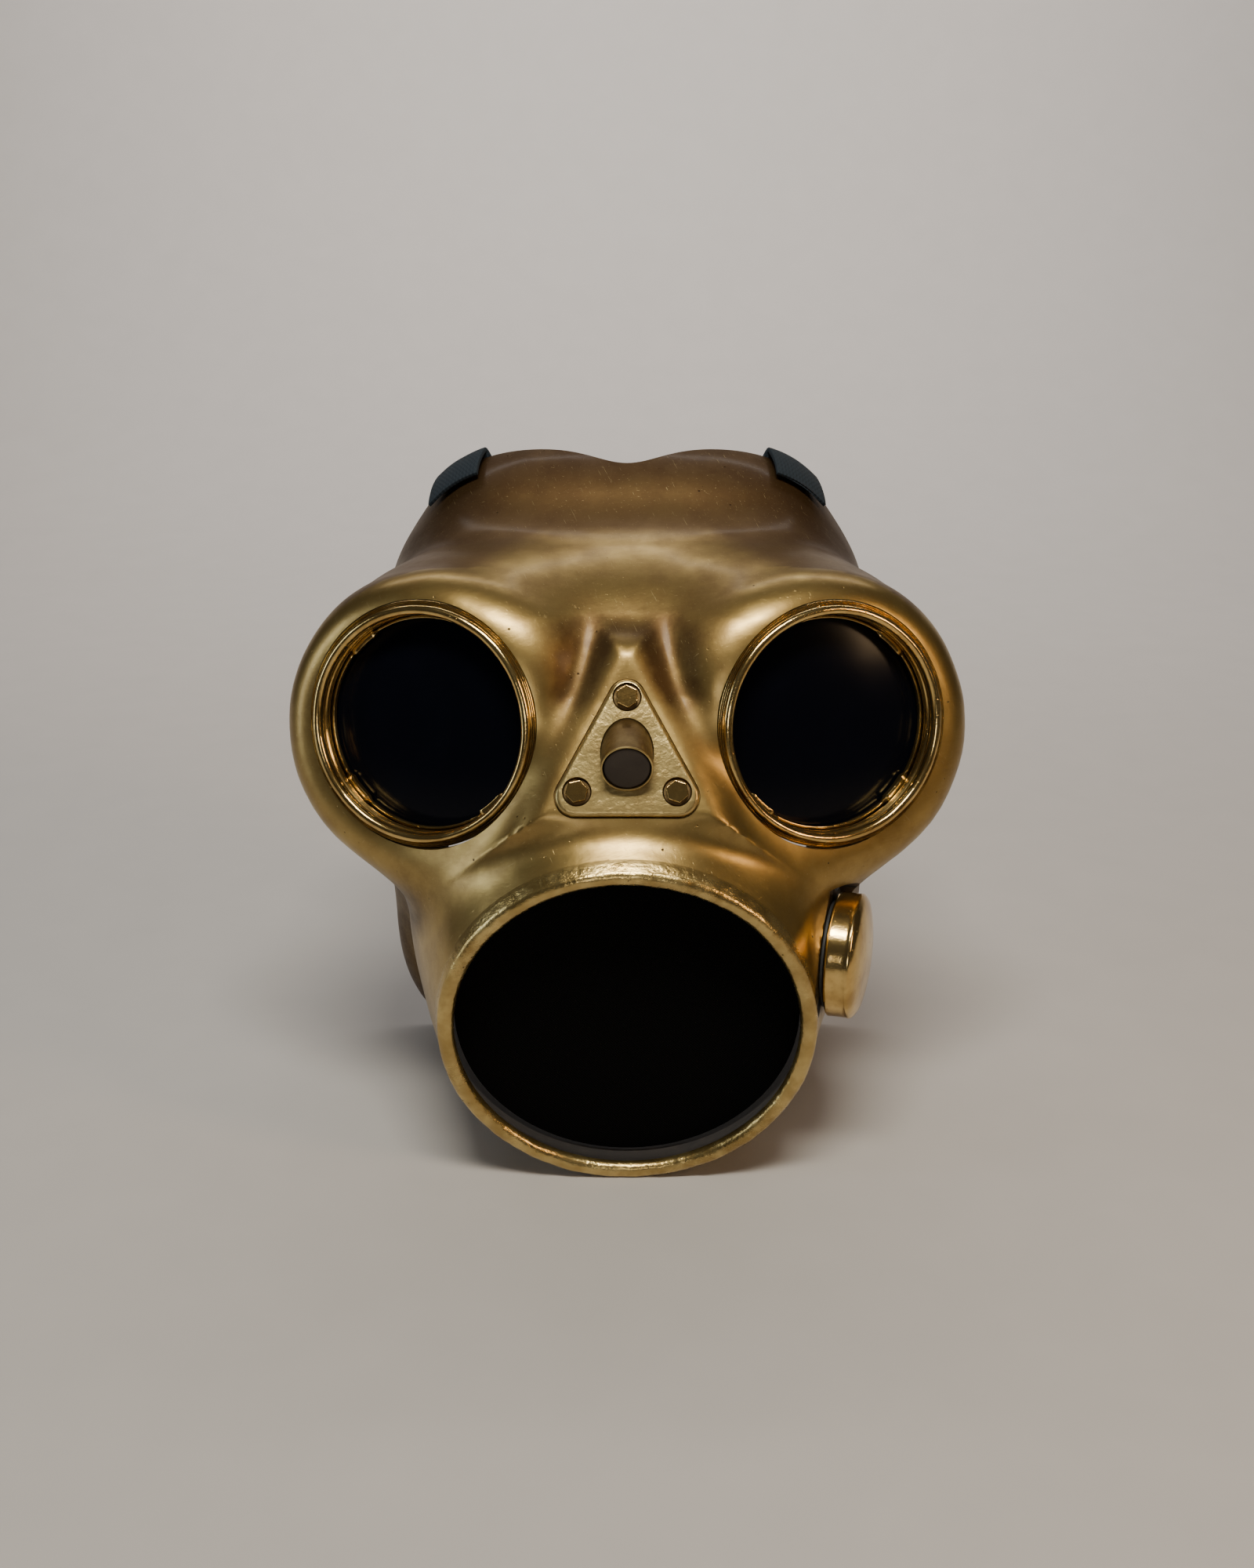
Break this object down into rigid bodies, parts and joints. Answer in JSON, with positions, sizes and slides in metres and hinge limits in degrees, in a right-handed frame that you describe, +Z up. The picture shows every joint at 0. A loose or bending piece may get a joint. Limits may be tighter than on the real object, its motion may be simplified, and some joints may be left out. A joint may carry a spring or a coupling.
{
  "type": "gas-mask style costume mask",
  "caption": "Hard-shell costume mask with round goggle eyes in bayonet rings, a bolted three-cornered nose plate, a side port with a turning cap and an open round mouth.",
  "frame": {"origin": "middle of the bounding box at the surface the mask stands on", "axes": "-Y is the way the face looks, +Z is up, +X is to the right as seen from the front"},
  "size_m": [0.2454, 0.2192, 0.2501],
  "materials": {
    "gold_shell": "old-gold metallic paint over a moulded shell, brushed, with brown shading in the hollows",
    "bright_brass": "glossy brass with dark patina in the grooves",
    "cast_brass": "satin, slightly pitted cast brass",
    "black_rubber": "matte",
    "smoked_lens": "glossy, smoked almost black",
    "dark_plug": "matte dark brown",
    "black_plastic": "matte",
    "zinc_steel": "zinc plated",
    "black_mesh": "open black mesh cloth",
    "black_foam": "foam pad under black cloth",
    "navy_webbing": "woven elastic webbing, navy black"
  },
  "bodies": {
    "shell": {"mask_shell": "gold_shell", "eye_bezel_left": "bright_brass", "eye_bezel_right": "bright_brass", "lens_gasket_left": "black_rubber", "lens_gasket_right": "black_rubber", "lens_left": "smoked_lens", "lens_right": "smoked_lens", "nose_plate": "cast_brass", "nose_tube": "cast_brass", "nose_tube_plug": "dark_plug", "nose_bolt_top": "bright_brass", "nose_bolt_left": "bright_brass", "nose_bolt_right": "bright_brass", "nose_washer_top": "zinc_steel", "nose_washer_left": "zinc_steel", "nose_washer_right": "zinc_steel", "nose_nut_top": "zinc_steel", "nose_nut_left": "zinc_steel", "nose_nut_right": "zinc_steel", "port_spigot": "zinc_steel", "port_gasket": "black_rubber", "port_nut": "zinc_steel", "mouth_screen": "black_mesh", "screen_ring": "black_plastic", "forehead_pad": "black_foam", "cheek_pad_left": "black_foam", "cheek_pad_right": "black_foam", "strap_fold_left": "navy_webbing", "strap_fold_right": "navy_webbing", "head_strap": "navy_webbing"},
    "retainer_left": {"lens_retainer_left": "bright_brass"},
    "retainer_right": {"lens_retainer_right": "bright_brass"},
    "cap": {"port_cap": "bright_brass"},
    "keeper": {"strap_keeper": "zinc_steel"}
  },
  "joints": [
    {"name": "retainer_left_turn", "type": "hinge", "parent": "shell", "child": "retainer_left", "pos_m": [-0.0716, -0.0629, 0.1672], "axis": [-0.323, -0.9276, 0.1874], "range_deg": [0, 25]},
    {"name": "retainer_right_turn", "type": "hinge", "parent": "shell", "child": "retainer_right", "pos_m": [0.0716, -0.0629, 0.1672], "axis": [0.323, -0.9276, 0.1874], "range_deg": [0, 25]},
    {"name": "cap_turn", "type": "hinge", "parent": "shell", "child": "cap", "pos_m": [0.0725, -0.0733, 0.0845], "axis": [0.9563, -0.2924, 0], "range_deg": [0, 90]},
    {"name": "keeper_slide", "type": "slide", "parent": "shell", "child": "keeper", "axis": [1, 0, 0], "range_m": [-0.012, 0.012]}
  ]
}
